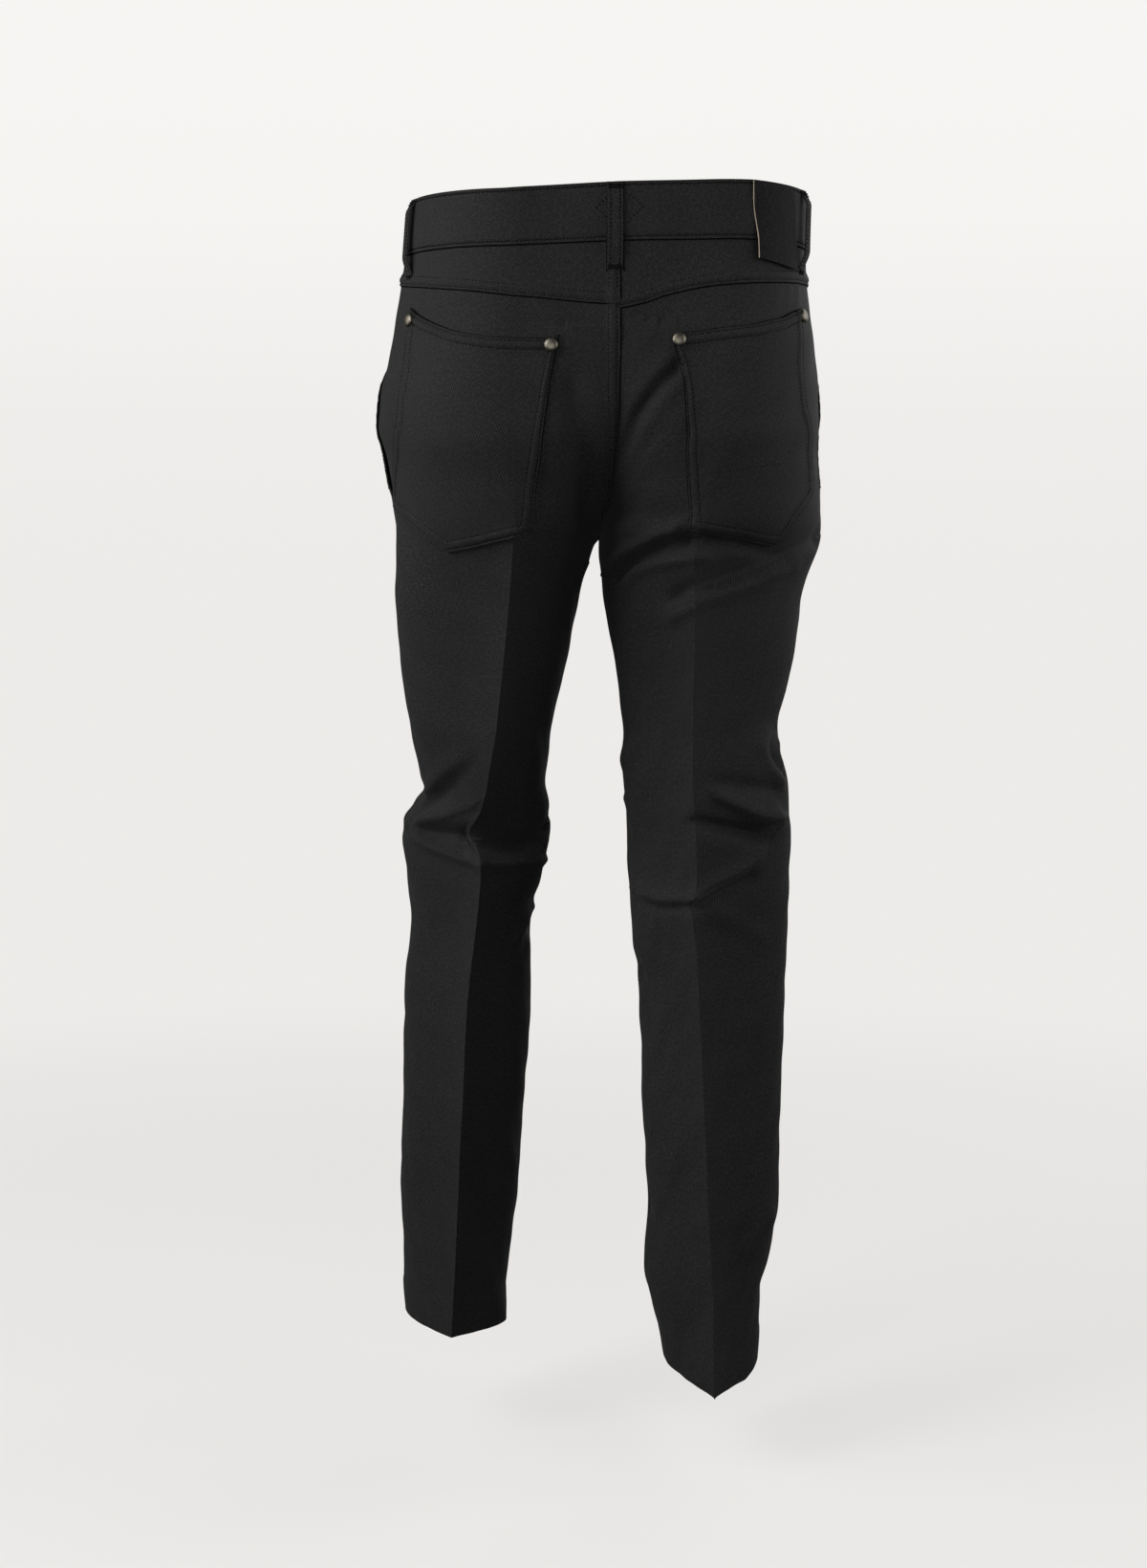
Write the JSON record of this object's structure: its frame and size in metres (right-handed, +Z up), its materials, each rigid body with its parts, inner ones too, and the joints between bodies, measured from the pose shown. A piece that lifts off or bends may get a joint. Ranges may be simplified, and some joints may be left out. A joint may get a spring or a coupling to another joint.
{
  "type": "straight-leg jeans with pressed creases",
  "caption": "Pressed black twill jeans in their worn, hollow form, with a yoked back, patch pockets with rivets, slanted hip pockets, belt loops and a leather waistband patch.",
  "frame": {"origin": "centre of the waistband's top edge, where the wearer's waist holds the garment", "axes": "+Z up, -Y towards the wearer's front, +X towards the wearer's left"},
  "size_m": [0.3673, 0.3118, 0.9901],
  "materials": {
    "twill": "matt black cotton twill with pressed creases",
    "selvedge": "self-finished woven edge",
    "thread": "black sewing thread",
    "patch_leather": "pebbled black leather",
    "rivet_metal": "antique nickel, lightly domed",
    "zip": "dull zip metal"
  },
  "bodies": {
    "root": {"front_left": "twill", "front_right": "twill", "back_left": "twill", "back_right": "twill", "yoke_left": "twill", "yoke_right": "twill", "hip_left": "twill", "hip_right": "twill", "back_pocket_left": "twill", "back_pocket_right": "twill", "waistband": "twill", "fly_shield": "twill", "loop_back": "twill", "loop_side_left": "twill", "loop_side_right": "twill", "loop_front_left": "twill", "loop_front_right": "twill", "selvedge_left": "selvedge", "selvedge_right": "selvedge", "zip_chain": "zip", "zip_slider": "zip", "button": "rivet_metal", "rivet_left_outer": "rivet_metal", "rivet_left_inner": "rivet_metal", "rivet_right_outer": "rivet_metal", "rivet_right_inner": "rivet_metal", "patch": "patch_leather"}
  },
  "joints": []
}
